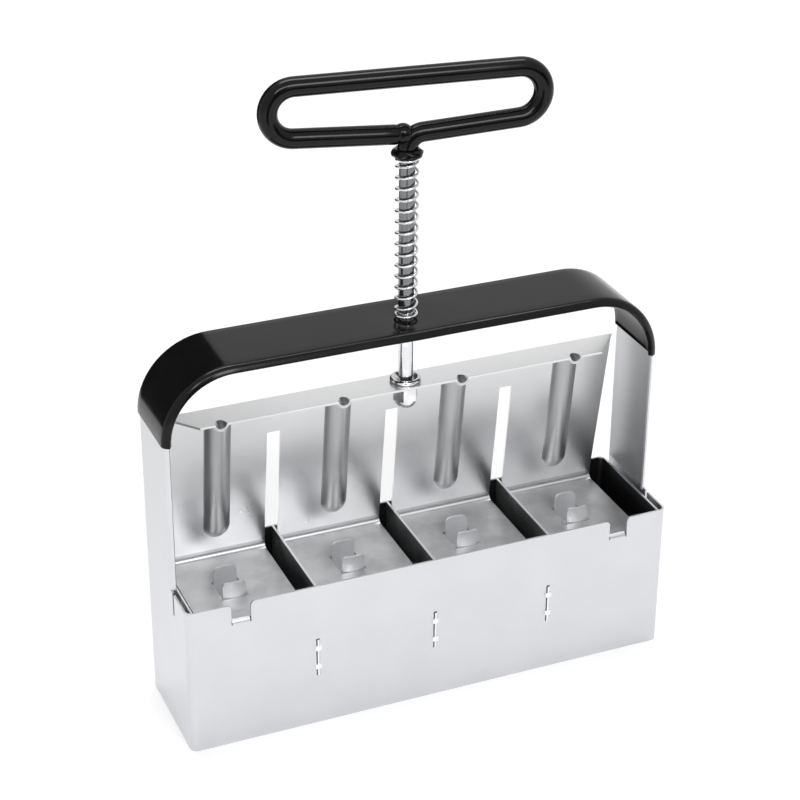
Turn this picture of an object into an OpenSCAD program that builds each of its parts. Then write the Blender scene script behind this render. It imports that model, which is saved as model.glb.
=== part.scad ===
// Soil blocker for four 50 mm blocks, pressed out by a sprung plunger.
// X runs along the row of cells, Y from the front panel to the back, Z up.
// The origin is the middle of the open bottom rim.

/* [Box] */
// Length of the box, over the outer shell
box_l = 212; // [200:1:240]
// Depth of the box, front face to back face
box_d = 52.4; // [50:0.2:56]
// Height of the box walls
box_h = 65.8; // [62:0.2:72]
// Thickness of the box sheet
sheet = 0.8; // [0.6:0.1:1]
// Outside radius of the vertical bends
corner_r = 3; // [2:0.5:4]
// Gap between a side wall and the end wall inside it
wall_gap = 1.8; // [0.4:0.1:2.4]
// Gap between the end walls' front edges and the front panel
front_gap = 0.1; // [0.1:0.1:0.4]
// How far the inner walls stay below the outer rim at the top
inner_drop = 0.8; // [0.4:0.2:1.6]
// Running gap round the plunger inside the box
run_gap = 1; // [0.8:0.1:1.4]

/* [Partition slots] */
// Height of the slots that hold the partition tabs
tab_h = 17.6; // [14:0.2:22]
// Bottom of those slots above the rim
tab_z = 23.4; // [18:0.2:28]
// How far a tab stands proud of the panel
tab_proud = 0.6; // [0.4:0.1:1]
// Clearance between a tab and its slot, each side
tab_gap = 0.35; // [0.2:0.05:0.5]
// Width of the two staked lugs on each tab
lug_w = 2.6; // [2:0.2:3.4]
// Height of a staked lug
lug_h = 2.2; // [1.6:0.2:3]

/* [Stop notches] */
// Width of the two notches in the front panel
notch_w = 8.2; // [7:0.2:12]
// Middle of a notch, from the end of the box
notch_in = 22.6; // [18:0.2:28]
// Radius of the notch's upper corners
notch_r = 2; // [1:0.5:3]
// Reach of the stop tab bent inwards from a notch
stop_len = 5; // [3.4:0.2:6]
// Outside radius of the stop tab's bend
stop_r = 2; // [1.2:0.2:2.6]
// Relief gap on each side of a stop tab
stop_side = 0.4; // [0.2:0.1:0.8]
// Gap between a stop tab and the press plate under it
stop_gap = 0.3; // [0.2:0.1:0.6]

/* [Bail] */
// Height of the bail's bare top face
bail_h = 159.6; // [150:0.2:175]
// Outside radius of the bail's two bends
bail_r = 29; // [22:1:36]
// Setback of the strap's back edge from the back face
strap_back = 2.4; // [0.4:0.2:4]
// Width of the flat part of the strap
web_w = 29.8; // [28:0.2:31]
// Straight length of the turned front edge
lip_len = 1; // [0.8:0.1:3]
// Outside radius of the turned front edge
lip_r = 2.2; // [1.6:0.1:4]
// Angle of the turned front edge
lip_angle = 58; // [45:1:65]
// Depth of the relief cut at the foot of the strap
relief_h = 10; // [7:0.5:14]
// Width of the relief cut
relief_w = 1.5; // [0.8:0.1:2]
// Thickness of the dipped vinyl
vinyl = 0.75; // [0.5:0.05:1]
// Height where the vinyl on the bail ends
dip_z = 130.2; // [118:0.2:130.4]

/* [Rod and handle] */
// Diameter of the round bar
bar_d = 6.3; // [5.8:0.1:6.6]
// Place of the rod in front of the back face
rod_in = 19.2; // [18:0.2:20]
// Clearance round the rod in the bail and the flange
rod_gap = 0.4; // [0.3:0.05:0.6]
// Length of the handle loop over its ends
loop_l = 116.2; // [100:0.2:130]
// Distance between the two long runs of the loop
loop_h = 20.4; // [16:0.2:26]
// Height of the middle of the upper run
loop_z = 259.8; // [250:0.1:275]
// Droop of the lower runs towards the rod
loop_droop = 3.2; // [0:0.2:4]
// Inside bend from the handle into the rod, at the bar's middle
neck_r = 6.5; // [5:0.5:8]
// Turn of the handle about the rod
loop_turn = 7; // [0:1:12]
// Radius of the weld bead at the end of the loop
weld_r = 3.9; // [3.6:0.1:5]

/* [Spring] */
// Diameter of the spring wire
wire_d = 1.1; // [0.9:0.1:1.3]
// Outside diameter of the spring
spring_d = 9.6; // [9.2:0.1:11]
// Number of open turns
spring_turns = 14; // [11:1:15]
// Diameter of the washer above the spring
washer_d = 12.9; // [12:0.1:15]
// Thickness of that washer
washer_t = 3.2; // [2:0.2:4]

/* [Plunger] */
// Thickness of the plunger sheet
plate_t = 1; // [0.8:0.1:1.2]
// Height of the top face of the press plates
plate_z = 57.4; // [54:0.2:58]
// Height of the top face of the flange
flange_z = 131.8; // [124:0.2:138]
// Depth of the flange, front edge to back
flange_w = 15.4; // [14:0.2:16]
// Distance from the rod's middle to the back of the flange
flange_rear = 8.3; // [8:0.1:8.6]
// Length of the flange at its back edge
flange_l = 198; // [184:0.2:199]
// Corner cut off each front end of the flange
flange_cut = 11.9; // [9:0.1:15]
// Outside radius of the fold between web and press plates
fold_r = 3.4; // [1.8:0.2:4]
// Outside radius of the fold between web and flange
top_fold_r = 1.8; // [1.6:0.1:2.4]
// Length over the press plates
plates_l = 194.4; // [182:0.2:196]
// Side play of the plunger sheet that is taken up to the left
side_play = 1.8; // [0:0.1:2]
// Width of the clearance slots over the partitions
slot_w = 5.6; // [5.4:0.2:8]
// Height of the top of those slots
slot_top = 114.6; // [114.4:0.2:118]
// Spacing of the stiffening beads and the dibbles
bead_pitch = 51.2; // [50:0.1:52.6]
// Offset of the beads from the middle of the sheet, to the right
bead_side = 1.5; // [0:0.1:2]
// Width of a stiffening bead
bead_w = 11.4; // [9:0.2:13]
// Depth of a stiffening bead
bead_depth = 3.4; // [2.4:0.2:4]
// Height of a bead's lower end above the press plate
bead_foot = 7.4; // [6:0.2:14]
// Drop from the flange's top face to a bead's open top
bead_drop = 6; // [4.6:0.2:9]
// Width of the dip that a bead leaves in the flange
dip_w = 4.8; // [4:0.2:8]
// Depth of that dip
dip_depth = 1.7; // [1.2:0.1:2.4]
// Offset of a dip from its bead, to the left
dip_side = 3.2; // [0:0.2:4]
// Slope of the dip up to the flange
dip_slope = 32; // [20:1:40]
// Stroke of the plunger
stroke = 48; // [40:1:48]

/* [Dibbles] */
// Width of a dibble's ears
ear_w = 9.8; // [8:0.2:11]
// Height of the ears above the press plate
ear_h = 7; // [5:0.2:8]
// Distance over the two bowed ears
ear_span = 14.2; // [12:0.2:16]
// Radius of the bow of an ear
ear_bow = 13; // [8:0.5:18]
// Thickness of the dibble sheet
ear_t = 0.9; // [0.7:0.1:1.1]
// Radius of the ears' upper corners
ear_r = 2; // [1:0.5:3]
// Depth of a dibble below the press plate
dibble_h = 6.4; // [5:0.2:7]
// Width of the dibble's shoulder under the press plate
shoulder_w = 0.8; // [0.6:0.1:1.2]
// Clearance beside the ears in the press plate
ear_gap = 0.7; // [0.3:0.1:0.9]
// Clearance in front of and behind the ears
ear_slack = 0.15; // [0.1:0.05:0.4]
// Offset of the dibbles from the beads, to the left
dibble_side = 3; // [1:0.1:4]
// Setback of the dibbles from the middle of the box
dibble_front = 2; // [0:0.2:3]

/* [Clamping parts] */
// Diameter of the collar on the flange
collar_d = 12.8; // [12:0.2:14]
// Height of the collar
collar_h = 2; // [1.8:0.2:3]
// Thickness of the spring lock washer
lock_t = 1.2; // [1:0.1:1.6]
// Outside diameter of the lock washer
lock_d = 9; // [8:0.2:10]
// Width of the cap nut across flats
nut_af = 9.2; // [9:0.2:10]
// Height of the cap nut's hexagon
nut_hex_h = 5.6; // [5:0.2:7]
// Height of the cap nut's dome
nut_dome_h = 3; // [2.4:0.2:3.6]

/* [Hidden] */
eps = 0.01;
round_fn = 64;

cells = 4;
half_l = box_l / 2;
y_front = -box_d / 2;
y_back = box_d / 2;
inner_h = box_h - inner_drop;
side_in = half_l - sheet;
end_out = side_in - wall_gap;
end_in = end_out - sheet;
cell_pitch = (2 * end_in + sheet) / cells;
panel_in_f = y_front + sheet;
panel_in_b = y_back - sheet;

strap_rear = y_back - strap_back;
strap_fold = strap_rear - web_w;
lip_arc = lip_r * lip_angle * PI / 180;
strap_front_flat = strap_fold - lip_arc - lip_len;
lip_start_z = box_h + 0.3;
bail_top = bail_h + vinyl;

rod_y = y_back - rod_in;
hole_d = bar_d + 2 * rod_gap;

slide_back = panel_in_b - run_gap;
flange_back = rod_y + flange_rear;
flange_front = flange_back - flange_w;
plate_front = panel_in_f + run_gap + 0.5;
stop_bottom = plate_z + stop_gap;
notch_x = half_l - notch_in;
slot_foot = plate_z - plate_t;

bead_r = (bead_w * bead_w / 4 + bead_depth * bead_depth) / (2 * bead_depth);
dip_r = (dip_w * dip_w / 4 + dip_depth * dip_depth) / (2 * dip_depth);

end_r = loop_h / 2;
end_x = loop_l / 2 - end_r - bar_d / 2 - vinyl;
end_z = loop_z - end_r;
run_start_x = end_x + end_r * sin(loop_droop);
run_start_z = end_z - end_r * cos(loop_droop);
neck_top_x = neck_r - neck_r * sin(loop_droop);
run_len = (run_start_x - neck_top_x) / cos(loop_droop);
neck_top_z = run_start_z - run_len * sin(loop_droop);
neck_z = neck_top_z - neck_r * cos(loop_droop);
left_end_x = -3.3;
left_len = (run_start_x + left_end_x) / cos(loop_droop);
left_end_z = run_start_z - left_len * sin(loop_droop);

washer_top = neck_z + 0.6;
washer_z = washer_top - washer_t;
spring_len = washer_z - bail_top;
nut_top = flange_z - plate_t - lock_t;
rod_low = nut_top - nut_hex_h - 0.6;

steel = "lightgray";
vinyl_black = [0.08, 0.08, 0.08];
bright = "silver";

// ---- Box and bail -------------------------------------------------------

// The strap's outer line, moved inwards by off and stretched by ext at both ends.
// X is the height above the strap's outer face, Y the place across the strap.
function strap_line(off, ext) = concat(
    [[-off, strap_rear + ext]],
    [for (a = [0 : lip_angle / 8 : lip_angle])
        [(lip_r - off) * cos(a) - lip_r, strap_fold - (lip_r - off) * sin(a)]],
    [[(lip_r - off) * cos(lip_angle) - lip_r - (lip_len + ext) * sin(lip_angle),
        strap_fold - (lip_r - off) * sin(lip_angle) - (lip_len + ext) * cos(lip_angle)]]);

function backwards(list) = [for (i = [len(list) - 1 : -1 : 0]) list[i]];

module strap_section(skin = 0) {
    polygon(concat(strap_line(-skin, skin), backwards(strap_line(sheet + skin, skin))));
}

// The strap bent into a bail above the given foot, from the same section all round.
module bail_path(foot_z, skin = 0) {
    bend_x = half_l - bail_r;
    bend_z = bail_h - bail_r;
    for (side = [0, 1]) mirror([side, 0, 0]) {
        translate([half_l, 0, foot_z])
            linear_extrude(bend_z - foot_z) strap_section(skin);
        translate([bend_x, 0, bend_z]) rotate([90, 0, 0])
            rotate_extrude(angle = 90, $fn = 96)
                translate([bail_r, 0]) mirror([0, 1]) strap_section(skin);
    }
    translate([-bend_x, 0, bail_h]) rotate([90, 0, 90])
        linear_extrude(2 * bend_x) rotate(90) mirror([0, 1]) strap_section(skin);
}

module rod_hole(z, length, d = hole_d) {
    translate([0, rod_y, z]) cylinder(d = d, h = length, $fn = round_fn);
}

// A U of sheet seen from above: one long wall and two walls at its ends.
module u_sheet(length, depth, height) {
    r = corner_r;
    translate([-length / 2 + r, 0, 0]) cube([length - 2 * r, sheet, height]);
    for (side = [0, 1]) mirror([side, 0, 0]) {
        translate([length / 2 - sheet, r, 0]) cube([sheet, depth - r, height]);
        translate([length / 2 - r, r, 0]) rotate([0, 0, -90])
            rotate_extrude(angle = 90, $fn = round_fn) translate([r - sheet, 0])
                square([sheet, height]);
    }
}

module tab_slots(y) {
    for (k = [1 - cells / 2 : cells / 2 - 1])
        translate([k * cell_pitch - sheet / 2 - tab_gap, y - eps, tab_z])
            cube([sheet + 2 * tab_gap, sheet + 2 * eps, tab_h]);
}

module stop_notch() {
    floor_z = stop_bottom + sheet - stop_r;
    translate([-notch_w / 2, y_front - eps, floor_z])
        cube([notch_w, sheet + 2 * eps, box_h - floor_z + eps]);
    for (side = [0, 1]) mirror([side, 0, 0])
        translate([notch_w / 2 - eps, y_front - eps, box_h - notch_r]) difference() {
            cube([notch_r + eps, sheet + 2 * eps, notch_r + eps]);
            translate([notch_r + eps, -eps, 0]) rotate([-90, 0, 0])
                cylinder(r = notch_r, h = sheet + 4 * eps, $fn = round_fn);
        }
}

module stop_tab() {
    wide = notch_w - 2 * stop_side;
    low = stop_bottom + sheet - stop_r;
    rotate([90, 0, 90]) linear_extrude(wide, center = true) polygon(concat(
        [[y_front, low - sheet / 2]],
        [for (i = [0 : 8]) let (a = 180 - 90 * i / 8)
            [y_front + stop_r + stop_r * cos(a), low + stop_r * sin(a)]],
        [[y_front + stop_len, low + stop_r], [y_front + stop_len, low + stop_r - sheet]],
        [for (i = [0 : 8]) let (a = 90 + 90 * i / 8, r = stop_r - sheet)
            [y_front + stop_r + r * cos(a), low + r * sin(a)]],
        [[y_front + sheet, low - sheet / 2]]));
}

module outer_shell() {
    color(steel) {
        difference() {
            union() {
                translate([0, y_front, 0]) u_sheet(box_l, strap_rear - y_front, box_h);
                for (side = [-1, 1]) translate([side > 0 ? side_in : -half_l, strap_front_flat,
                    box_h - eps]) cube([sheet, strap_rear - strap_front_flat, lip_start_z - box_h + eps]);
            }
            tab_slots(y_front);
            for (side = [-1, 1]) {
                translate([side * notch_x, 0, 0]) stop_notch();
                translate([side > 0 ? side_in - eps : -half_l - eps, strap_front_flat - relief_w,
                    box_h - relief_h]) cube([sheet + 2 * eps, relief_w, relief_h + 1]);
            }
        }
        for (side = [-1, 1]) translate([side * notch_x, 0, 0]) stop_tab();
        difference() {
            bail_path(lip_start_z);
            rod_hole(bail_h - 2 * sheet, 4 * sheet);
        }
    }
}

module bail_grip() {
    color(vinyl_black) difference() {
        bail_path(dip_z, vinyl);
        bail_path(dip_z - 1);
        rod_hole(bail_h - 10, 20);
    }
}

module back_panel() {
    color(steel) difference() {
        translate([0, y_back, 0]) mirror([0, 1, 0])
            u_sheet(2 * end_out, y_back - panel_in_f - front_gap, inner_h);
        tab_slots(panel_in_b);
    }
}

module partition(k) {
    tab_len = sheet + tab_proud;
    color(steel) translate([k * cell_pitch, 0, 0]) {
        translate([-sheet / 2, panel_in_f, 0])
            cube([sheet, panel_in_b - panel_in_f, inner_h]);
        translate([-sheet / 2, panel_in_f - tab_len, tab_z + tab_gap])
            cube([sheet, panel_in_b - panel_in_f + 2 * tab_len, tab_h - 2 * tab_gap]);
        for (face = [y_front - tab_proud, y_back])
            for (place = [0.25, 0.75])
                translate([-lug_w / 2, face, tab_z + tab_h * place - lug_h / 2])
                    cube([lug_w, tab_proud, lug_h]);
    }
}

// ---- Return spring ------------------------------------------------------

spring_rings = 16;
wire_sides = 8;
spring_total = spring_turns + 2;
open_pitch = (spring_len - 3 * wire_d) / spring_turns;

// Height of the wire's middle after t turns: one closed turn at each end.
function coil_z(t) = wire_d / 2 + (t < 1 ? t * wire_d
    : t < spring_turns + 1 ? wire_d + (t - 1) * open_pitch
    : wire_d + spring_turns * open_pitch + (t - spring_turns - 1) * wire_d);

module return_spring() {
    coil_r = (spring_d - wire_d) / 2;
    rings = spring_total * spring_rings;
    points = [for (i = [0 : rings]) for (j = [0 : wire_sides - 1])
        let (t = i / spring_rings, a = 360 * t, b = 360 * j / wire_sides,
            r = coil_r + wire_d / 2 * cos(b))
        [r * cos(a), r * sin(a), coil_z(t) + wire_d / 2 * sin(b)]];
    walls = [for (i = [0 : rings - 1]) for (j = [0 : wire_sides - 1])
        let (k = (j + 1) % wire_sides)
        [i * wire_sides + j, (i + 1) * wire_sides + j, (i + 1) * wire_sides + k, i * wire_sides + k]];
    first_cap = [for (j = [0 : wire_sides - 1]) j];
    last_cap = [for (j = [wire_sides - 1 : -1 : 0]) rings * wire_sides + j];
    color(bright) translate([0, rod_y, bail_top])
        polyhedron(concat(points), concat([first_cap], walls, [last_cap]), convexity = 10);
}

// ---- Plunger ------------------------------------------------------------

fold_low_y = slide_back - fold_r;
fold_low_z = plate_z - plate_t + fold_r;
fold_top_y = flange_back - top_fold_r;
fold_top_z = flange_z - top_fold_r;
web_dy = fold_low_y - fold_top_y;
web_dz = fold_top_z - fold_low_z;
// The web is the common tangent of the two folds' outer circles.
web_span = sqrt(web_dy * web_dy + web_dz * web_dz);
web_lean = atan(web_dy / web_dz) + asin((fold_r - top_fold_r) / web_span);
web_len = sqrt(web_span * web_span - (fold_r - top_fold_r) * (fold_r - top_fold_r));
bead_top_z = web_len - (bead_drop - top_fold_r) / cos(web_lean);

// The leaning web between its two folds, its outer face on the back.
module web_plane() {
    translate([0, fold_low_y, fold_low_z]) rotate([web_lean, 0, 0]) children();
}

function fold_points(y, z, r, a0, a1) = let (n = 16)
    [for (i = [0 : n]) let (a = a0 + (a1 - a0) * i / n) [y + r * cos(a), z + r * sin(a)]];

// Section of the folded sheet: press plate, web and flange, from the plate's front edge.
module folded_section() {
    inner = fold_r - plate_t;
    polygon(concat([[plate_front, plate_z - plate_t]],
        fold_points(fold_low_y, fold_low_z, fold_r, -90, web_lean),
        fold_points(fold_top_y, fold_top_z, top_fold_r, web_lean, 90),
        [[flange_front, flange_z], [flange_front, flange_z - plate_t]],
        fold_points(fold_top_y, fold_top_z, top_fold_r - plate_t, 90, web_lean),
        fold_points(fold_low_y, fold_low_z, inner, web_lean, -90),
        [[plate_front, plate_z]]));
}

// Outline of the sheet from the front, narrowing a little towards the press plates.
module web_trim() {
    top = flange_l / 2;
    low = plates_l / 2;
    rotate([90, 0, 0]) linear_extrude(4 * box_d, center = true)
        polygon([[-low, 0], [low, 0], [low, plate_z + fold_r], [top, flange_z - top_fold_r],
            [top, flange_z + 9], [-top, flange_z + 9], [-top, flange_z - top_fold_r],
            [-low, plate_z + fold_r]]);
}

module flange_corners() {
    half = flange_l / 2;
    for (side = [0, 1]) mirror([side, 0, 0])
        translate([0, 0, flange_z - top_fold_r]) linear_extrude(2 * top_fold_r)
            polygon([[half - flange_cut, flange_front - 1], [half - flange_cut, flange_front],
                [half - top_fold_r / 2, fold_top_y], [half + 1, fold_top_y],
                [half + 1, flange_front - 1]]);
}

// A bead pressed forwards out of the web: round at its foot, open at its top.
module bead(x, r, extra) {
    foot = bead_foot + bead_w / 2;
    length = bead_top_z - foot + extra;
    web_plane() translate([x, fold_r - plate_t - bead_depth + bead_r, foot])
        rotate_extrude($fn = round_fn) intersection() {
            union() {
                circle(r = r, $fn = round_fn);
                square([r, length]);
            }
            translate([0, -r]) square([r, length + r]);
        }
}

// A dip at the flange's front edge that runs out upwards.
module flange_dip(x, outer) {
    r = outer ? dip_r + plate_t : dip_r;
    translate([x, flange_front, flange_z - dip_depth + dip_r]) rotate([-90 + dip_slope, 0, 0])
        translate([0, 0, -4]) cylinder(r = r, h = 4 + flange_w, $fn = round_fn);
}

function bead_x(i) = (i - (cells - 1) / 2) * bead_pitch + bead_side;
function dibble_x(i) = bead_x(i) - side_play - dibble_side;

// The metal that the dips push down under the flange.
module dip_metal() {
    intersection() {
        for (i = [0 : cells - 1]) flange_dip(bead_x(i) - dip_side, true);
        translate([-flange_l / 2, flange_front, flange_z - plate_t - dip_depth - 2])
            cube([flange_l, fold_top_y - flange_front, dip_depth + 2 + plate_t / 2]);
    }
}

module ear_window(x) {
    translate([x - ear_w / 2 - ear_gap, -dibble_front - ear_span / 2 - ear_slack, plate_z - 2 * plate_t])
        cube([ear_w + 2 * ear_gap, ear_span + 2 * ear_slack, 3 * plate_t]);
}

module web_and_plates() {
    difference() {
        intersection() {
            rotate([90, 0, 90]) linear_extrude(flange_l, center = true) folded_section();
            web_trim();
        }
        flange_corners();
    }
    intersection() {
        for (i = [0 : cells - 1]) bead(bead_x(i), bead_r, 0);
        web_plane() translate([-flange_l / 2, fold_r - plate_t - bead_depth - 1, 0])
            cube([flange_l, bead_depth + 1 + plate_t / 2, web_len]);
    }
}

module plunger_sheet() {
    color(steel) difference() {
        translate([-side_play, 0, 0]) difference() {
            union() {
                web_and_plates();
                dip_metal();
            }
            for (i = [0 : cells - 1]) {
                bead(bead_x(i), bead_r - plate_t, 1);
                flange_dip(bead_x(i) - dip_side, false);
            }
            for (k = [1 - cells / 2 : cells / 2 - 1])
                translate([k * cell_pitch - slot_w / 2, y_front, slot_foot - 1])
                    cube([slot_w, box_d, slot_top - slot_foot + 1]);
        }
        for (i = [0 : cells - 1]) ear_window(dibble_x(i));
        rod_hole(flange_z - 2 * plate_t, 4 * plate_t, bar_d + 2 * eps);
    }
}

// Plan of a dibble: a barrel with bowed front and back, grown by some amount.
module barrel(grow) {
    reach = ear_span / 2 + grow;
    bow = ear_bow + grow;
    intersection() {
        translate([0, reach - bow]) circle(r = bow, $fn = round_fn);
        translate([0, bow - reach]) circle(r = bow, $fn = round_fn);
        square([ear_w + 2 * max(grow, 0), 4 * reach], center = true);
    }
}

module ear_corners(z0, z1) {
    rotate([90, 0, 0]) linear_extrude(2 * ear_span, center = true) {
        translate([-ear_w / 2, z0]) square([ear_w, z1 - ear_r - z0]);
        translate([-ear_w / 2 + ear_r, z0]) square([ear_w - 2 * ear_r, z1 - z0]);
        for (side = [-1, 1]) translate([side * (ear_w / 2 - ear_r), z1 - ear_r])
            circle(r = ear_r, $fn = 48);
    }
}

module seed_dibble(i) {
    under = plate_z - plate_t;
    color(steel) translate([dibble_x(i), -dibble_front, 0]) {
        difference() {
            translate([0, 0, under - dibble_h]) linear_extrude(dibble_h) barrel(shoulder_w);
            translate([0, 0, under - dibble_h + ear_t]) linear_extrude(dibble_h) barrel(-ear_t);
        }
        intersection() {
            difference() {
                translate([0, 0, under - eps]) linear_extrude(plate_t + ear_h) barrel(0);
                translate([0, 0, under - 1]) linear_extrude(plate_t + ear_h + 2) {
                    barrel(-ear_t);
                    square([2 * ear_w, ear_span - 2 * ear_t - 4], center = true);
                }
            }
            ear_corners(under - 1, plate_z + ear_h);
        }
    }
}

// ---- Rod and handle -----------------------------------------------------

bar_sides = 24;
bend_step = 9;
// The bar's surface keeps this much inside the bores that hold it.
bar_slim = 0.02;

// Points of a bend about (x, z) in the handle's plane: place and direction of travel.
function bend_points(x, z, bend, a0, a1) = let (n = ceil(abs(a1 - a0) / bend_step))
    [for (i = [0 : n]) let (a = a0 + (a1 - a0) * i / n, way = a1 > a0 ? 90 : -90)
        [x + bend * cos(a), z + bend * sin(a), a + way]];

// The bar's middle line from the cut end, round the loop and down into the rod.
function loop_points(cut, foot) = concat(
    [[left_end_x - cut, left_end_z + cut * tan(loop_droop), 180 - loop_droop]],
    bend_points(-end_x, end_z, end_r, 270 - loop_droop, 90),
    bend_points(end_x, end_z, end_r, 90, loop_droop - 90),
    bend_points(neck_r, neck_z, neck_r, 90 + loop_droop, 180),
    [[0, foot, -90]]);

function ring_points(p, r) = [for (j = [0 : bar_sides - 1])
    let (b = 360 * j / bar_sides, u = r * cos(b), v = r * sin(b))
    [p[0] - u * sin(p[2]), v, p[1] + u * cos(p[2])]];

// Solid bar round the loop. The left cut end is moved along the bar by cut.
module loop_bar(r, cut, foot) {
    path = loop_points(cut, foot);
    n = len(path);
    points = [for (p = path) each ring_points(p, r)];
    walls = [for (i = [0 : n - 2]) for (j = [0 : bar_sides - 1])
        let (k = (j + 1) % bar_sides)
        [i * bar_sides + j, i * bar_sides + k, (i + 1) * bar_sides + k, (i + 1) * bar_sides + j]];
    first_cap = [for (j = [bar_sides - 1 : -1 : 0]) j];
    last_cap = [for (j = [0 : bar_sides - 1]) (n - 1) * bar_sides + j];
    polyhedron(points, concat([first_cap], walls, [last_cap]), convexity = 10);
}

module in_handle() {
    translate([0, rod_y, 0]) rotate([0, 0, -loop_turn]) children();
}

module weld_ball(r) {
    translate([left_end_x + 1.5, 0, left_end_z + 0.2]) sphere(r = r, $fn = 48);
}

module plunger_rod() {
    color(bright) in_handle() {
        loop_bar(bar_d / 2 - bar_slim, 0, neck_z - 1);
        translate([0, 0, rod_low]) cylinder(d = bar_d, h = neck_z - rod_low, $fn = round_fn);
    }
}

module handle_weld() {
    color(bright) in_handle() difference() {
        weld_ball(weld_r);
        loop_bar(bar_d / 2, 0, rod_low);
    }
}

module handle_grip() {
    color(vinyl_black) in_handle() difference() {
        union() {
            loop_bar(bar_d / 2 + vinyl, 0, washer_top);
            weld_ball(weld_r + vinyl);
        }
        weld_ball(weld_r);
        loop_bar(bar_d / 2, 0, washer_top - 1);
    }
}

// ---- Clamping parts -----------------------------------------------------

module ring(z, height, outer_d, inner_d, edge) {
    translate([0, rod_y, z]) rotate_extrude($fn = round_fn) difference() {
        translate([inner_d / 2, 0]) square([(outer_d - inner_d) / 2, height]);
        for (top = [0, 1]) translate([outer_d / 2 - edge, top ? height - edge : edge])
            difference() {
                translate([0, top ? 0 : -edge - 1]) square([edge + 1, edge + 1]);
                circle(r = edge, $fn = 32);
            }
    }
}

module spring_washer() {
    color(vinyl_black) ring(washer_z, washer_t, washer_d, bar_d, 1.2);
}

module rod_collar() {
    color(bright) difference() {
        ring(flange_z, collar_h, collar_d, bar_d, 1);
        translate([0, rod_y, flange_z + collar_h - 1.2])
            cylinder(d1 = bar_d, d2 = bar_d + 3.6, h = 1.2 + eps, $fn = round_fn);
    }
}

module lock_washer() {
    color(bright) difference() {
        ring(nut_top, lock_t, lock_d, bar_d, 0.2);
        translate([0, rod_y, nut_top - eps]) rotate([0, 0, 200])
            translate([0, -0.4, 0]) cube([lock_d, 0.8, lock_t + 2 * eps]);
    }
}

module cap_nut() {
    dome_r = nut_af / 2;
    color(bright) difference() {
        union() {
            translate([0, rod_y, nut_top - nut_hex_h])
                cylinder(d = nut_af / cos(30), h = nut_hex_h, $fn = 6);
            intersection() {
                translate([0, rod_y, nut_top - nut_hex_h]) sphere(r = dome_r, $fn = 48);
                translate([0, rod_y, nut_top - nut_hex_h - nut_dome_h])
                    cylinder(r = dome_r, h = nut_dome_h + 1, $fn = round_fn);
            }
        }
        rod_hole(rod_low, nut_hex_h + 2, bar_d);
    }
}

outer_shell();
bail_grip();
back_panel();
partition(-1);  // partition_left
partition(0);  // partition_middle
partition(1);  // partition_right
return_spring();
plunger_sheet();
seed_dibble(0);  // seed_dibble_1
seed_dibble(1);  // seed_dibble_2
seed_dibble(2);  // seed_dibble_3
seed_dibble(3);  // seed_dibble_4
plunger_rod();
handle_weld();
handle_grip();
spring_washer();
rod_collar();
lock_washer();
cap_nut();
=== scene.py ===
# %% [markdown]
# # Dressing a soil blocker
# A soil blocker is a bottomless box of sheet metal with partitions across it. It is pushed into wet
# potting mix, and a sprung plunger then presses the blocks out below. The CAD model already has the
# right sizes, so this lesson loads it as a fixed frame and adds what CAD leaves plain: the round bar,
# the dipped vinyl, the coil spring and the finishes.

# %% The frame
import bmesh
import bpy
import math
from mathutils import Matrix, Vector


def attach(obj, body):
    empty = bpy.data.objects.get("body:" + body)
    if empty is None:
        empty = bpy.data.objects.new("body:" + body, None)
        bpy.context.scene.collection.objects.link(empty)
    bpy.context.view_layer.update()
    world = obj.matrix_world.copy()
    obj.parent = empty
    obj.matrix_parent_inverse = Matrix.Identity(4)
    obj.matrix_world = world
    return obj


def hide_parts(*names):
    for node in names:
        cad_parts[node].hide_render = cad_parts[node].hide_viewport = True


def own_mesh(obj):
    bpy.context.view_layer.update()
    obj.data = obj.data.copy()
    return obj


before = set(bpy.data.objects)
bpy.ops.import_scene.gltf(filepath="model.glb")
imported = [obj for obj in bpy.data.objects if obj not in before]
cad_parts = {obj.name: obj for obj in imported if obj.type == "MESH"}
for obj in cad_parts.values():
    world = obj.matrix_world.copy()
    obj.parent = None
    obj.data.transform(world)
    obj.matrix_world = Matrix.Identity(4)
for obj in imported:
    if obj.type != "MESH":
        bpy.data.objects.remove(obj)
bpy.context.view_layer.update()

# %% [markdown]
# The photograph was taken with a long lens from the front left, a little above the bail. The camera's
# place was solved from the corners of the box, so it also has a very slight roll.

# %% Camera
azimuth, elevation, roll = (math.radians(a) for a in (-23.10, 27.93, 0.41))
camera_place = Vector((-0.29869, -0.68786, 0.52374))
back = Vector((math.sin(azimuth) * math.cos(elevation), -math.cos(azimuth) * math.cos(elevation),
               math.sin(elevation)))
right = (-back).cross(Vector((0, 0, 1))).normalized()
up = right.cross(-back)
rolled_right = right * math.cos(roll) + up * math.sin(roll)
rolled_up = up * math.cos(roll) - right * math.sin(roll)
lens = bpy.data.cameras.new("camera")
lens.lens, lens.sensor_width = 95.255, 36
lens.clip_start, lens.clip_end = 0.05, 20
camera = bpy.data.objects.new("camera", lens)
turn = Matrix((rolled_right, rolled_up, back)).transposed().to_4x4()
camera.matrix_world = Matrix.Translation(camera_place) @ turn
bpy.context.collection.objects.link(camera)
bpy.context.scene.camera = camera
print("camera at", tuple(round(v, 3) for v in camera.matrix_world.translation))

# %% [markdown]
# A finish is built as a small network of nodes. Writing that as sums and products is much easier to
# read than linking sockets one by one, so a value wraps a socket and overloads the operators.


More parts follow.
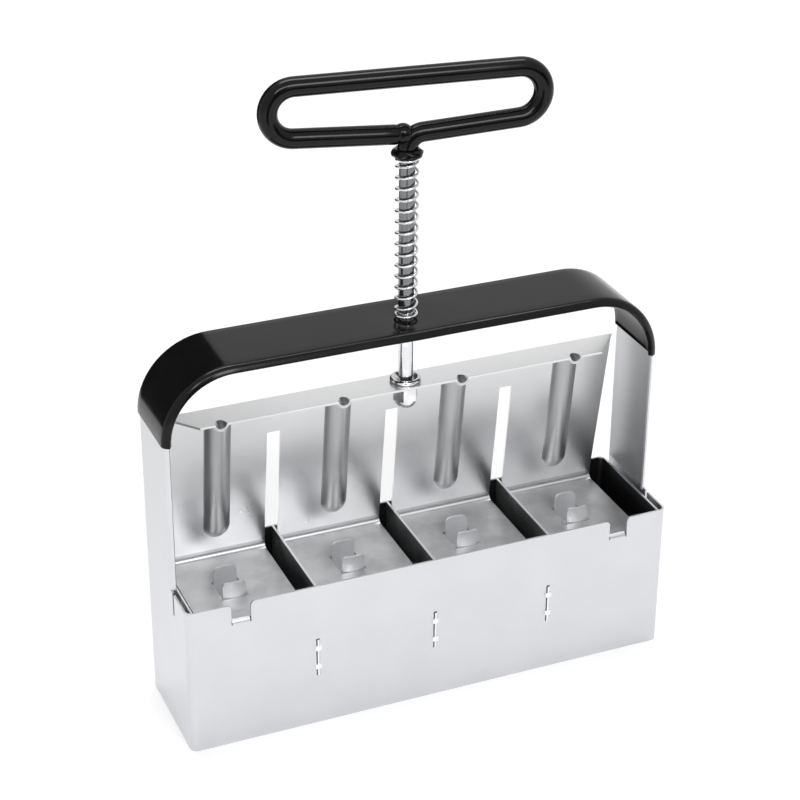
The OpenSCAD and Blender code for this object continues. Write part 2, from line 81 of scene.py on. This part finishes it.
# %% Shader values
class Value:
    """A socket that can be used in Python sums."""

    def __init__(self, nodes, socket):
        self.nodes, self.socket = nodes, socket

    def _math(self, operation, a, b=0.0, clamp=False):
        settings = {"operation": operation, "use_clamp": clamp}
        return self.nodes.add("ShaderNodeMath", settings, {0: a, 1: b})

    def __add__(self, other):
        return self._math("ADD", self, other)

    __radd__ = __add__

    def __sub__(self, other):
        return self._math("SUBTRACT", self, other)

    def __rsub__(self, other):
        return self._math("SUBTRACT", other, self)

    def __mul__(self, other):
        return self._math("MULTIPLY", self, other)

    __rmul__ = __mul__

    def __abs__(self):
        return self._math("ABSOLUTE", self)

    def fraction(self):
        return self._math("FRACT", self)

    def clamped(self):
        return self._math("ADD", self, 0.0, clamp=True)

    def ramp(self, low, high):
        """0 at low, 1 at high, smooth between them."""
        settings = {"interpolation_type": "SMOOTHSTEP"}
        return self.nodes.add("ShaderNodeMapRange", settings, {0: self, 1: low, 2: high, 3: 0.0, 4: 1.0})


print("values can be added, multiplied and ramped")

# %% [markdown]
# Every other node comes from one method, which takes the node's type, its settings and what goes into
# its sockets. A finish is such a network that ends in one shader. Patterns are laid out in the place
# of each point on the object, so they run on from piece to piece.


# %% Networks and finishes
class Nodes:
    """A network of nodes under construction."""

    def __init__(self, tree):
        self.tree = tree

    def add(self, kind, settings=None, values=None, out=0):
        node = self.tree.nodes.new(kind)
        for name, setting in (settings or {}).items():
            setattr(node, name, setting)
        for name, value in (values or {}).items():
            self.feed(node.inputs[name], value)
        return Value(self, node.outputs[out])

    def feed(self, socket, value):
        if isinstance(value, Value):
            self.tree.links.new(value.socket, socket)
        elif isinstance(value, tuple) and len(value) == 3 and socket.type == "RGBA":
            socket.default_value = (*value, 1.0)
        else:
            socket.default_value = value

    def place(self, scale=(1, 1, 1)):
        """Object coordinates, stretched."""
        here = self.add("ShaderNodeTexCoord", out="Object")
        return self.add("ShaderNodeMapping", {}, {"Vector": here, "Scale": scale})

    def axes(self):
        """The place of a point on the object, as three values in metres."""
        split = self.add("ShaderNodeSeparateXYZ", {}, {0: self.place()})
        return [Value(self, socket) for socket in split.socket.node.outputs]

    def noise(self, scale, stretch=(1, 1, 1), detail=3.0):
        values = {"Vector": self.place(stretch), "Scale": scale, "Detail": detail, "Roughness": 0.5}
        return self.add("ShaderNodeTexNoise", {}, values)

    def tint(self, factor, low, high):
        """A colour between two colours."""
        return self.add("ShaderNodeMix", {"data_type": "RGBA"}, {0: factor, 6: low, 7: high}, out=2)

    def bump(self, height, strength, distance):
        values = {"Strength": strength, "Distance": distance, "Height": height}
        return self.add("ShaderNodeBump", {}, values)


class Finish(Nodes):
    """A material under construction. Its output is one Principled shader."""

    def __init__(self, name):
        self.material = bpy.data.materials.new(name)
        self.material.use_nodes = True
        super().__init__(self.material.node_tree)
        self.shader = self.tree.nodes["Principled BSDF"]

    def set(self, **sockets):
        for name, value in sockets.items():
            self.feed(self.shader.inputs[name.replace("_", " ")], value)
        return self.material


print("networks and finishes are ready")

# %% [markdown]
# Where a finish changes over a piece, a mask finds the spot by its place on the object. So the sizes
# that the masks and the new pieces share come first. They are the real ones in millimetres, turned
# into metres once.

# %% Sizes of the sheet parts
MM = 0.001
HALF_L, HALF_D, SHEET = 106.0 * MM, 26.2 * MM, 0.8 * MM
BOX_TOP, INNER_TOP, BAIL_TOP = 65.8 * MM, 65.0 * MM, 159.6 * MM
# The inner face of an end wall, from the middle of the box
INNER_END = 102.6 * MM
# Where the front edge of the strap starts to turn
STRAP_FOLD = -6.0 * MM
PLATE_TOP, FLANGE_TOP, FLANGE_FRONT = 57.4 * MM, 131.8 * MM, -0.1 * MM
# The web's front face would meet the rim's level at WEB_FOOT, and leans forwards from there
WEB_FOOT, WEB_LEAN = 31.18 * MM, 0.1298
FIRST_BEAD, BEAD_PITCH = -75.3 * MM, 51.2 * MM
print("box", round(2 * HALF_L, 3), "m long; plunger from", PLATE_TOP, "to", FLANGE_TOP, "m high")

# %% [markdown]
# Zinc-plated sheet is pale and smooth. Rolling leaves a faint grain along the sheet, handling leaves
# soft smudges, and both show in the gloss more than in the colour. So the noise feeds the roughness
# and a very low bump first, and the colour only a little. Where a face gets painted shade, a mask
# mixes a darker metal in and takes some of the gloss away.


# %% Sheet metal finish
def sheet_finish(name, pale, dark, rough, shade=None, grain=(1.0, 9.0, 9.0), ripple=0.3, metal=1.0):
    """Mottled sheet. A shade gives the colour of its painted shade and a mask that finds where it goes.
    """
    f = Finish(name)
    smudge = f.noise(38.0, detail=4.0)
    streak = f.noise(420.0, grain, detail=2.0)
    speck = f.noise(2600.0, detail=1.0)
    tone = (smudge * 0.75 + streak * 0.25).ramp(0.36, 0.64)
    colour = f.tint(tone, dark, pale)
    # A shade paints shade into the colour and takes some of the gloss away.
    if shade:
        shade_colour, amount = shade(f)
        colour = f.tint(amount, colour, shade_colour)
        rough = amount * 0.12 + rough
    return f.set(Base_Color=colour, Metallic=metal,
                 Roughness=rough + (smudge - 0.5) * 0.14 + (streak - 0.5) * 0.08,
                 Normal=f.bump(streak * 0.7 + speck * 0.3, ripple, 0.02 * MM))


def strap_inside_painted_shade(f):
    """Painted shade on the strap's inner faces, darker towards the box and towards the front. The turned
    edge is left bright.
    """
    x, y, z = f.axes()
    behind_fold = y.ramp(STRAP_FOLD - 0.4 * MM, STRAP_FOLD + 0.4 * MM)
    inner_face = abs(x).ramp(HALF_L - 0.5 * MM, HALF_L - 0.7 * MM)
    inside = inner_face * z.ramp(BOX_TOP + 0.4 * MM, BOX_TOP + 0.8 * MM) * behind_fold
    low = z.ramp(135 * MM, 68 * MM) * 0.45
    front = y.ramp(22 * MM, 2 * MM) * 0.40
    # Painted shade: a dark metal colour, stronger low down and towards the front.
    return (0.24, 0.245, 0.25), inside * (low + front + 0.03)


def shaded_inside(f):
    """Painted shade on the inner faces of the end walls and the back, below their bright cut edge."""
    x, y, z = f.axes()
    between_ends = abs(x).ramp(INNER_END + 0.45 * MM, INNER_END + 0.15 * MM)
    before_back = y.ramp(HALF_D - 0.4 * MM, HALF_D - 0.7 * MM)
    inside = between_ends * before_back * z.ramp(INNER_TOP - 0.2 * MM, INNER_TOP - 0.7 * MM)
    return (0.030, 0.031, 0.033), inside * 0.96


outer_sheet = sheet_finish("zinc_outer_sheet", (0.66, 0.665, 0.685), (0.63, 0.635, 0.655), 0.38,
                           strap_inside_painted_shade)
inner_sheet = sheet_finish("zinc_inner_sheet", (0.74, 0.75, 0.77), (0.66, 0.67, 0.69), 0.30,
                           shaded_inside)
print("sheet finishes:", outer_sheet.name, inner_sheet.name)

# %% [markdown]
# The plunger is the same sheet, but its grain runs up the web, and its press plates get painted
# shade, mottled like scuffs. The web is one flat, leaning plane with four beads pressed out of it. A
# point in front of that plane is on a bead, and its distance to the bead's middle line tells the two
# flanks apart. Those, the folds, the web's top and left end and the cut edge get painted shade, so the
# web keeps its bright colour only near its foot.


# %% Plunger and dibble finishes
def bead_flank_painted_shade(x, y, z):
    """A mask for painted shade on the beads' flanks, the left one darker than the right."""
    web_front = WEB_FOOT - z * WEB_LEAN
    proud = (web_front - y).ramp(0.3 * MM, 0.9 * MM)
    tall = z.ramp(PLATE_TOP + 3.1 * MM, PLATE_TOP + 5.6 * MM)
    tall = tall * z.ramp(FLANGE_TOP - 3.8 * MM, FLANGE_TOP - 7.8 * MM)
    share = ((x - FIRST_BEAD) * (1 / BEAD_PITCH) + 0.5).fraction() - 0.5
    aside = share * BEAD_PITCH - 0.6 * MM
    left, right = aside.ramp(-0.4 * MM, -1.4 * MM), aside.ramp(0.4 * MM, 1.6 * MM)
    return proud * tall * (left * 0.42 + right * 0.24)


def plunger_painted_shade(f):
    """Painted shade on the press plates (mottled by scuff noise), the folds, the web's top and left end,
    the flange's edge and the beads.
    """
    x, y, z = f.axes()
    scuff = f.noise(95.0, detail=4.0).ramp(0.35, 0.7)
    plates = z.ramp(PLATE_TOP + 0.8 * MM, PLATE_TOP + 0.2 * MM) * (0.54 + scuff * 0.2)
    fold = z.ramp(PLATE_TOP + 0.1 * MM, PLATE_TOP + 0.6 * MM)
    fold = fold * z.ramp(PLATE_TOP + 4.1 * MM, PLATE_TOP + 3.1 * MM) * 0.55
    top = z.ramp(80 * MM, 122 * MM) * z.ramp(FLANGE_TOP, FLANGE_TOP - 1.8 * MM) * 0.36
    left = x.ramp(-45 * MM, -70 * MM) * z.ramp(PLATE_TOP + 3.1 * MM, PLATE_TOP + 5.6 * MM) * 0.08
    edge = y.ramp(FLANGE_FRONT + 0.4 * MM, FLANGE_FRONT + 0.1 * MM)
    edge = edge * z.ramp(FLANGE_TOP - 4.3 * MM, FLANGE_TOP - 1.8 * MM) * 0.3
    # Painted shade: a dark metal colour over all of these places.
    return (0.32, 0.325, 0.335), plates + fold + top + left + edge + bead_flank_painted_shade(x, y, z)


UPRIGHT_GRAIN = (9.0, 9.0, 1.0)
plunger_metal = sheet_finish("zinc_plunger_sheet", (0.95, 0.955, 0.96), (0.90, 0.905, 0.915), 0.31,
                             plunger_painted_shade, UPRIGHT_GRAIN, ripple=0.04)
dibble_metal = sheet_finish("zinc_dibble_sheet", (0.80, 0.805, 0.82), (0.73, 0.735, 0.75), 0.45,
                            None, UPRIGHT_GRAIN, ripple=0.12, metal=0.6)
print("plunger finishes:", plunger_metal.name, dibble_metal.name)

# %% [markdown]
# The partitions' faces get painted shade: a dull, dark colour for the shade they stand in, next to
# the cut top edge and the staked tabs, which keep a bright metal colour. The edge is picked out by its
# height and the tabs by how far they reach to the front and back, because the sheet is cut square there.


# %% Partition finish
def partition_finish():
    f = Finish("dark_partition_sheet")
    _, y, z = f.axes()
    smudge = f.noise(60.0, detail=4.0)
    cut_edge = z.ramp(INNER_TOP - 0.7 * MM, INNER_TOP - 0.2 * MM)
    tab = abs(y).ramp(HALF_D - 0.6 * MM, HALF_D - 0.2 * MM)
    bright = (cut_edge + tab).clamped()
    # Painted shade: the faces are a near-black metal. The cut edge and the tabs keep a bright metal
    # colour.
    face = f.tint(smudge.ramp(0.35, 0.7), (0.030, 0.031, 0.033), (0.085, 0.087, 0.09))
    return f.set(Base_Color=f.tint(bright, face, (0.84, 0.85, 0.87)), Metallic=0.35 + bright * 0.65,
                 Roughness=0.40 + (smudge - 0.5) * 0.2)


partition_metal = partition_finish()
print("partition finish:", partition_metal.name)

# %% [markdown]
# The bar, the spring and the small fasteners are bright-plated: nearly white metal with a narrow
# gloss, so they show the dark and light of the room in hard stripes.


# %% Bright plating
def plated(name, colour, rough, grain, shade=None):
    f = Finish(name)
    wear = f.noise(170.0, detail=3.0)
    lines = f.noise(900.0, grain, detail=1.0)
    metal = f.tint(wear.ramp(0.4, 0.62), tuple(0.86 * c for c in colour), colour)
    if shade:
        # A shade paints shade into the colour.
        shade_colour, amount = shade(f)
        metal = f.tint(amount, metal, shade_colour)
    return f.set(Base_Color=metal, Metallic=1.0,
                 Roughness=rough + (wear - 0.5) * 0.08 + (lines - 0.5) * 0.06,
                 Normal=f.bump(lines, 0.25, 0.02 * MM))


def rod_painted_shade(f):
    """Painted shade on the rod where it runs inside the spring, above the bail."""
    z = f.axes()[2]
    return (0.10, 0.10, 0.105), z.ramp(BAIL_TOP + 1.9 * MM, BAIL_TOP + 6.4 * MM) * 0.85


bar_plating = plated("bright_bar", (0.80, 0.81, 0.83), 0.16, (6, 6, 1), rod_painted_shade)
spring_plating = plated("bright_spring_wire", (0.86, 0.87, 0.89), 0.18, (1, 1, 4))
nut_plating = plated("bright_fastener", (0.80, 0.80, 0.81), 0.2, (1, 1, 6))
weld_metal = plated("dull_weld", (0.42, 0.40, 0.38), 0.45, (1, 1, 1))
print("plated finishes:", bar_plating.name, spring_plating.name, nut_plating.name, weld_metal.name)

# %% [markdown]
# The grips were dipped in liquid vinyl. It is deep black and glossy: the faces that look at the room
# stay black, and only a grazing face mirrors a soft grey. So the mirror-like part is kept weak head-on
# and sharp, the dip leaves slow waves in the skin, and handling dulls the gloss a little in patches.


# %% Dipped vinyl finish
def dipped_vinyl(name):
    f = Finish(name)
    peel = f.noise(620.0, detail=2.0)
    flow = f.noise(90.0, (1, 1, 0.5), detail=2.0)
    dust = f.noise(48.0, detail=5.0)
    black = f.tint(dust.ramp(0.45, 0.75), (0.0030, 0.0030, 0.0032), (0.0050, 0.0050, 0.0054))
    return f.set(Base_Color=black, Roughness=0.15 + (dust - 0.5) * 0.10, Specular_IOR_Level=0.22,
                 Normal=f.bump(peel * 0.2 + flow * 0.8, 0.35, 0.1 * MM))


vinyl = dipped_vinyl("black_dipped_vinyl")
print("vinyl:", vinyl.name)

# %% [markdown]
# The CAD nodes whose shape is already right stay, and only get their finish. The rest get one too, in
# case they are shown without the finer pieces that follow.

# %% Finishes for the CAD nodes
finished = [
    (outer_sheet, ["outer_shell"]),
    (inner_sheet, ["back_panel"]),
    (plunger_metal, ["plunger_sheet"]),
    (partition_metal, [f"partition_{side}" for side in ("left", "middle", "right")]),
    (dibble_metal, [f"seed_dibble_{number}" for number in (1, 2, 3, 4)]),
    (bar_plating, ["plunger_rod"]),
    (weld_metal, ["handle_weld"]),
    (nut_plating, ["rod_collar", "lock_washer", "cap_nut"]),
    (spring_plating, ["return_spring"]),
    (vinyl, ["spring_washer", "bail_grip", "handle_grip"]),
]
for finish, nodes in finished:
    for node in nodes:
        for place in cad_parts[node].material_slots:
            place.material = finish
    print(finish.name, "is on", ", ".join(nodes))

# %% [markdown]
# Everything round and bent comes from one idea: a ring of edges that is pushed forwards for a
# straight stretch and spun for a bend. That is how a bar is bent in a jig, so the helper is a jig.


# %% A bending jig
def only(kind, parts):
    """The vertices or the edges out of what an operator made."""
    return [part for part in parts if isinstance(part, kind)]


class Jig:
    """Grows a tube or a strip by pushing and bending its free end."""

    def __init__(self):
        self.bm = bmesh.new()
        self.end = []

    def ring(self, centre, heading, radius, sides=32):
        turned = heading.to_track_quat("Z", "Y").to_matrix().to_4x4()
        bmesh.ops.create_circle(self.bm, segments=sides, radius=radius,
                                matrix=Matrix.Translation(centre) @ turned)
        self.end = self.bm.edges[:]
        return self

    def push(self, step, times=1):
        for _ in range(times):
            grown = bmesh.ops.extrude_edge_only(self.bm, edges=self.end)["geom"]
            corners = only(bmesh.types.BMVert, grown)
            bmesh.ops.translate(self.bm, vec=Vector(step) / times, verts=corners)
            self.end = [edge for edge in only(bmesh.types.BMEdge, grown)
                        if all(corner in corners for corner in edge.verts)]

    def bend(self, centre, axis, angle, steps, rise=0.0):
        spun = bmesh.ops.spin(self.bm, geom=self.end, cent=centre, axis=axis, angle=math.radians(angle),
                              steps=steps, dvec=Vector(axis) * (rise / steps), use_merge=False)
        self.end = only(bmesh.types.BMEdge, spun["geom_last"])

    def cap(self, edges, rounding=0.0):
        face = bmesh.ops.contextual_create(self.bm, geom=edges)["faces"][0]
        if rounding:
            bmesh.ops.bevel(self.bm, geom=list(face.edges), offset=rounding, segments=6, profile=0.5,
                            affect="EDGES", material=-1)


print("the jig pushes and bends")

# %% [markdown]
# A finished bmesh becomes an object that stays at the origin, with its place in its mesh, as the CAD
# nodes have it. A piece of the tool also rides on a body, so that it moves with the CAD.


# %% From a bmesh to a piece
def as_object(bm, name, finish):
    mesh = bpy.data.meshes.new(name)
    bm.to_mesh(mesh)
    bm.free()
    mesh.materials.append(finish)
    shown = bpy.data.objects.new(name, mesh)
    bpy.context.collection.objects.link(shown)
    return shown


def finish_piece(bm, name, finish, body):
    """Turns a bmesh into a smooth piece that rides on a body."""
    bmesh.ops.remove_doubles(bm, verts=bm.verts, dist=0.001 * MM)
    bmesh.ops.recalc_face_normals(bm, faces=bm.faces)
    piece = as_object(bm, name, finish)
    piece.data.shade_smooth()
    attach(piece, body)
    print(name, "has", len(piece.data.polygons), "faces")
    return piece


print("pieces can be finished")

# %% [markdown]
# The handle is the end of the plunger rod, bent into a flat loop. Its lower runs droop towards the
# rod, the left one stops short at the neck, and a weld closes the gap. The dip covers it all. The
# whole loop is turned a few degrees about the rod, as the photograph shows.

# %% Sizes of the handle
ROD = Vector((0, 7.0, 0)) * MM
BAR, VINYL = 6.3 * MM, 0.75 * MM
DROOP_DEGREES = 3.2
DROOP, TURN = math.radians(DROOP_DEGREES), math.radians(-7)
END_R, NECK_R = 10.2 * MM, 6.5 * MM
END_X, END_Z = 44.0 * MM, 249.6 * MM
run_x = END_X + END_R * math.sin(DROOP)
run_z = END_Z - END_R * math.cos(DROOP)
neck_x = NECK_R - NECK_R * math.sin(DROOP)
run_drop = (run_x - neck_x) * math.tan(DROOP)
neck_z = run_z - run_drop - NECK_R * math.cos(DROOP)
LEFT_END = -3.3 * MM
left_z = run_z - (run_x + LEFT_END) * math.tan(DROOP)
WASHER_H = 3.2 * MM
WASHER_TOP = neck_z + 0.6 * MM
WASHER_FOOT = WASHER_TOP - WASHER_H
print("neck at", round(neck_z / MM, 2), "mm, washer top at", round(WASHER_TOP / MM, 2))

# %% [markdown]
# The vinyl is a jig run from the cut end, round the loop and down the neck. A ball of vinyl over the
# weld sits a little beside the cut end, so that it swells out of the bend. The last of the sleeve is
# hidden in the washer.


# %% Handle grip
def make_handle_grip():
    sleeve_r = BAR / 2 + VINYL
    side = Vector((0, 1, 0))
    half_turn, quarter_turn = 180 - DROOP_DEGREES, 90 - DROOP_DEGREES
    jig = Jig().ring(Vector((LEFT_END, 0, left_z)), Vector((-math.cos(DROOP), 0, math.sin(DROOP))),
                     sleeve_r)
    cut_end = jig.end
    jig.push((-run_x - LEFT_END, 0, run_z - left_z), 6)
    jig.bend((-END_X, 0, END_Z), side, half_turn, 24)
    jig.push((2 * END_X, 0, 0), 10)
    jig.bend((END_X, 0, END_Z), side, half_turn, 24)
    jig.push((neck_x - run_x, 0, -run_drop), 5)
    jig.bend((NECK_R, 0, neck_z), -side, quarter_turn, 14)
    jig.push((0, 0, WASHER_TOP - neck_z - 1.0 * MM))
    jig.cap(cut_end, 1.6 * MM)
    jig.cap(jig.end)
    ball = bmesh.ops.create_uvsphere(jig.bm, u_segments=32, v_segments=20, radius=4.1 * MM)
    bmesh.ops.translate(jig.bm, verts=ball["verts"], vec=(LEFT_END + 1.5 * MM, 0, left_z + 0.2 * MM))
    bmesh.ops.transform(jig.bm, verts=jig.bm.verts,
                        matrix=Matrix.Translation(ROD) @ Matrix.Rotation(TURN, 4, "Z"))
    piece = finish_piece(jig.bm, "vinyl_handle", vinyl, "plunger")
    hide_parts("handle_grip")


make_handle_grip()

# %% [markdown]
# Under the neck a washer was dipped together with the handle. The vinyl ran over it and set in folds
# that wind round it, wider at the bottom than at the top. So one outline is spun round the rod, and
# each point is then pushed in or out by a wave that turns as it climbs.


# %% Dipped washer
def make_dipped_washer():
    outline = [(3.5, 0.0), (5.2, 0.0), (6.0, 0.12), (6.2, 0.3), (6.0, 0.5), (5.6, 0.66), (5.3, 0.8),
               (5.1, 0.92), (4.7, 1.0), (3.5, 1.0)]
    folds, twist, depth, sag = 5, 5.5, 0.26 * MM, 0.22 * MM
    bm = bmesh.new()
    line = [bm.verts.new((ROD.x + r * MM, ROD.y, WASHER_FOOT + share * WASHER_H))
            for r, share in outline]
    edges = [bm.edges.new(pair) for pair in zip(line, line[1:] + line[:1])]
    bmesh.ops.spin(bm, geom=line + edges, cent=ROD, axis=(0, 0, 1), angle=math.tau, steps=72,
                   use_merge=True)
    for v in bm.verts:
        out = Vector((v.co.x - ROD.x, v.co.y - ROD.y, 0))
        if out.length > 4.4 * MM:
            climb = (v.co.z - WASHER_FOOT) / WASHER_H
            wave = math.sin(folds * math.atan2(out.y, out.x) + twist * climb)
            v.co += out.normalized() * (depth * wave)
            v.co.z += sag * wave * math.sin(math.pi * climb)
    piece = finish_piece(bm, "vinyl_washer", vinyl, "plunger")
    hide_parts("spring_washer")


make_dipped_washer()

# %% [markdown]
# The return spring is a true helix: the same jig, spun about the rod with a rise. One turn at each
# end lies closed.


# %% Return spring
def make_spring():
    wire, coil_r = 1.1 * MM, 4.25 * MM
    turns, steps = 14, 28
    seat, top = BAIL_TOP + VINYL, WASHER_FOOT
    pitch = (top - seat - 3 * wire) / turns
    jig = Jig().ring(ROD + Vector((coil_r, 0, seat + wire / 2)), Vector((0, 1, 0)), wire / 2, 12)
    lower_end = jig.end
    centre, axis = (ROD.x, ROD.y, 0), (0, 0, 1)
    jig.bend(centre, axis, 360, steps, wire)
    jig.bend(centre, axis, 360 * turns, steps * turns, pitch * turns)
    jig.bend(centre, axis, 360, steps, wire)
    jig.cap(lower_end)
    jig.cap(jig.end)
    piece = finish_piece(jig.bm, "coil_spring", spring_plating, "casing")
    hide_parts("return_spring")
    length = top - seat
    (length - 48 * MM) / length
    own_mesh(piece)
    print("spring is", round(length / MM, 1), "mm long, pitch", round(pitch / MM, 2))


make_spring()

# %% [markdown]
# The bail's vinyl follows the strap: flat over the web and round the turned front edge. Its middle
# line is grown once across the strap, swept up, over and down, and Solidify gives it the thickness of
# metal and two skins of vinyl. Bevel rounds the rims as the dip does.


# %% Bail grip
def strap_line(bm, rear, foot):
    """Grows a line across the strap: straight from its rear to the fold, round it, and on a little."""
    strips, lip, reach = 8, 58, 1.6 * MM
    corner = bm.verts.new((HALF_L - SHEET / 2, rear, foot))

    def grow(step):
        grown = bmesh.ops.extrude_vert_indiv(bm, verts=[corner])["verts"]
        bmesh.ops.translate(bm, verts=grown, vec=step)
        return grown[0]

    for _ in range(strips):
        corner = grow((0, (STRAP_FOLD - rear) / strips, 0))
    spun = bmesh.ops.spin(bm, geom=[corner], cent=(HALF_L - 2.2 * MM, STRAP_FOLD, foot), axis=(0, 0, -1),
                          angle=math.radians(lip), steps=7)
    corner = only(bmesh.types.BMVert, spun["geom_last"])[0]
    grow((-reach * math.sin(math.radians(lip)), -reach * math.cos(math.radians(lip)), 0))


def make_bail_grip():
    rear, foot, bend_r = 24.5 * MM, 130.2 * MM, 29.0 * MM
    bend_x, bend_z = HALF_L - bend_r, BAIL_TOP - bend_r
    jig = Jig()
    strap_line(jig.bm, rear, foot)
    jig.end = jig.bm.edges[:]
    jig.push((0, 0, bend_z - foot))
    jig.bend((bend_x, 0, bend_z), (0, -1, 0), 90, 18)
    jig.push((-2 * bend_x, 0, 0), 56)
    jig.bend((-bend_x, 0, bend_z), (0, -1, 0), 90, 18)
    jig.push((0, 0, foot - bend_z))
    dent, dent_l, dent_w = 0.35 * MM, 9 * MM, 16 * MM
    for v in jig.bm.verts:
        if v.co.z > 140 * MM:
            v.co.z -= dent * math.exp(-((v.co.x / dent_l) ** 2) - ((v.co.y - ROD.y) / dent_w) ** 2)
    piece = finish_piece(jig.bm, "vinyl_bail", vinyl, "casing")
    skin = piece.modifiers.new("skin", "SOLIDIFY")
    skin.thickness, skin.offset, skin.use_even_offset = SHEET + 2 * VINYL, 0.0, True
    rim = piece.modifiers.new("rim", "BEVEL")
    rim.width, rim.segments, rim.limit_method = 1.0 * MM, 4, "ANGLE"
    rim.angle_limit = math.radians(60)
    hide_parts("bail_grip")


make_bail_grip()

# %% [markdown]
# The studio is a pale floor under a white surround. The camera, and whatever a glossy surface
# mirrors, see both as plain white, and the light itself stays at a level where a colour renders about
# as it is written. Light Path tells those rays from the light's own. The floor glows less near the
# tool, where the lamps already whiten it and its shadow has to show.


# %% Floor and surround
def seen(nodes):
    """1 for a ray from the camera, off a mirror or through glass, and 0 for light on its way."""
    rays = nodes.add("ShaderNodeLightPath").socket.node.outputs
    camera_ray, mirrored, through = (Value(nodes, rays[f"Is {kind} Ray"])
                                     for kind in ("Camera", "Glossy", "Transmission"))
    return (camera_ray + mirrored + through).clamped()


def make_floor():
    f = Finish("pale_floor")
    grain = f.noise(3.0, detail=2.0)
    x, y, _ = f.axes()
    far = (x * x + y * y).ramp(0.1, 1.0)
    near_glow = 0.36
    glow = f.tint(seen(f) * (near_glow + far * (1 - near_glow)), (0, 0, 0), (1, 1, 1))
    pale = f.set(Base_Color=f.tint(grain, (0.93, 0.93, 0.93), (0.95, 0.95, 0.95)), Roughness=0.9,
                 Emission_Color=glow, Emission_Strength=0.4)
    bm = bmesh.new()
    bmesh.ops.create_grid(bm, x_segments=1, y_segments=1, size=6.0)
    floor = as_object(bm, "floor", pale)


def make_surround(light, white):
    world = bpy.data.worlds.new("surround")
    bpy.context.scene.world = world
    world.use_nodes = True
    nodes = Nodes(world.node_tree)
    sky = nodes.tree.nodes["Background"]
    nodes.feed(sky.inputs["Color"], (0.8, 0.8, 0.8))
    nodes.feed(sky.inputs["Strength"], light + seen(nodes) * (white - light))


make_floor()
make_surround(0.48, 1.0)
print("floor and surround:", bpy.context.scene.world.name)

# %% [markdown]
# Two long lamps draw the lines of light along the black vinyl, and three dark boards out of view give
# the bright metal something dark to mirror. A photographer calls such a board a flag. It is hidden
# from the camera and casts no shadow, so only the metal shows it.


# %% Lamps and flags
def strip_lamp(name, place, power):
    """A lamp 1.2 m long that is aimed at the middle of the tool."""
    middle = Vector((0, 0, 0.16))
    lamp = bpy.data.lights.new(name, "AREA")
    lamp.shape, lamp.size, lamp.size_y, lamp.energy = "RECTANGLE", 1.2, 0.36, power
    rig = bpy.data.objects.new(name, lamp)
    rig.location = place
    rig.rotation_euler = (middle - Vector(place)).to_track_quat("-Z", "Y").to_euler()
    bpy.context.collection.objects.link(rig)


def dark_flag(name, place, facing, wide, tall):
    f = Finish(name)
    cloth = f.set(Base_Color=f.tint(f.noise(900.0, detail=1.0), (0.02, 0.02, 0.02), (0.04, 0.04, 0.04)),
                  Roughness=0.9)
    bm = bmesh.new()
    bmesh.ops.create_grid(bm, x_segments=1, y_segments=1, size=0.5)
    bmesh.ops.scale(bm, verts=bm.verts, vec=(wide, tall, 1))
    turned = Vector(facing).to_track_quat("Z", "Y").to_matrix().to_4x4()
    bmesh.ops.transform(bm, verts=bm.verts, matrix=Matrix.Translation(place) @ turned)
    board = as_object(bm, name, cloth)
    board.visible_camera = board.visible_diffuse = board.visible_shadow = False


strip_lamp("front_strip", (-0.25, -1.10, 1.05), 12.6)
strip_lamp("top_strip", (0.10, 0.30, 1.50), 11.0)
dark_flag("camera_flag", (-0.20, -0.47, 0.30), (-0.392, -0.92, 0), 0.22, 0.60)
dark_flag("front_flag", (0.19, -0.494, 0.217), (-0.347, 0.898, -0.1), 0.62, 0.20)
dark_flag("left_flag", (-0.22, 0.45, 0.30), (-0.35, 0.94, 0), 0.55, 0.60)
bpy.context.scene.view_settings.view_transform = "Standard"
print("lamps and flags are set")
